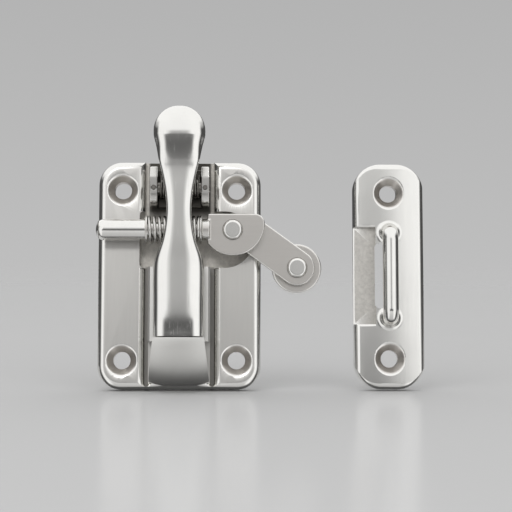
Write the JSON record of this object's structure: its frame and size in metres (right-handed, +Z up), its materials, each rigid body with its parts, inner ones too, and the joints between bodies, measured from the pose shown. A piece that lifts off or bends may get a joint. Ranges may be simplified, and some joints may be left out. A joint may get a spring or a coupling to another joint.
{
  "type": "boat window latch",
  "caption": "Stainless steel boat window latch: a rocking lever on a screwed base carries a spring-held draw bar with a swinging roller arm, and a keeper plate with a bail takes the roller.",
  "frame": {"origin": "centre of the base's back mounting face, midway between its four screw holes", "axes": "+Z up, +X to the right as seen from the front, +Y into the window frame; the front faces -Y"},
  "size_m": [0.105, 0.0186, 0.0896],
  "materials": {
    "satin_steel": "satin stainless steel",
    "polished_steel": "polished stainless steel",
    "spring_steel": "drawn stainless spring wire",
    "bearing_plastic": "acetal, off-white"
  },
  "bodies": {
    "base": {"base_plate": "satin_steel", "hinge_bracket": "satin_steel", "bracket_rivets": "satin_steel", "hinge_pin": "polished_steel", "hinge_lock_pins": "polished_steel", "return_springs": "spring_steel", "keeper_plate": "satin_steel", "keeper_bail": "polished_steel"},
    "lever": {"lever": "polished_steel"},
    "bar": {"draw_bar": "satin_steel", "end_pin": "polished_steel", "spring_washers": "satin_steel", "left_spring": "spring_steel", "right_spring": "spring_steel", "arm_rivet": "polished_steel", "arm_washer": "bearing_plastic", "arm_tail_washer": "satin_steel"},
    "arm": {"arm": "satin_steel", "roller_axle": "polished_steel", "roller_washers": "bearing_plastic"},
    "roller": {"roller": "satin_steel", "roller_bush": "bearing_plastic"}
  },
  "joints": [
    {"name": "lever_rock", "type": "hinge", "parent": "base", "child": "lever", "pos_m": [0, -0.0085, 0.0272], "axis": [-1, 0, 0], "range_deg": [0, 28], "stiffness_Nm_per_rad": 0.06, "springref_deg": -20.05, "deforming": ["return_springs"]},
    {"name": "bar_slide", "type": "slide", "parent": "lever", "child": "bar", "axis": [1, 0, 0], "range_m": [-0.001, 0.0015], "stiffness_N_per_m": 1500, "deforming": ["left_spring", "right_spring"]},
    {"name": "arm_swing", "type": "hinge", "parent": "bar", "child": "arm", "pos_m": [0.0169, -0.00725, 0.01385], "axis": [0, -1, 0], "range_deg": [-10, 65]},
    {"name": "roller_spin", "type": "hinge", "parent": "arm", "child": "roller", "pos_m": [0.03748, -0.00395, 0.00209], "axis": [0, -1, 0], "continuous": true}
  ]
}
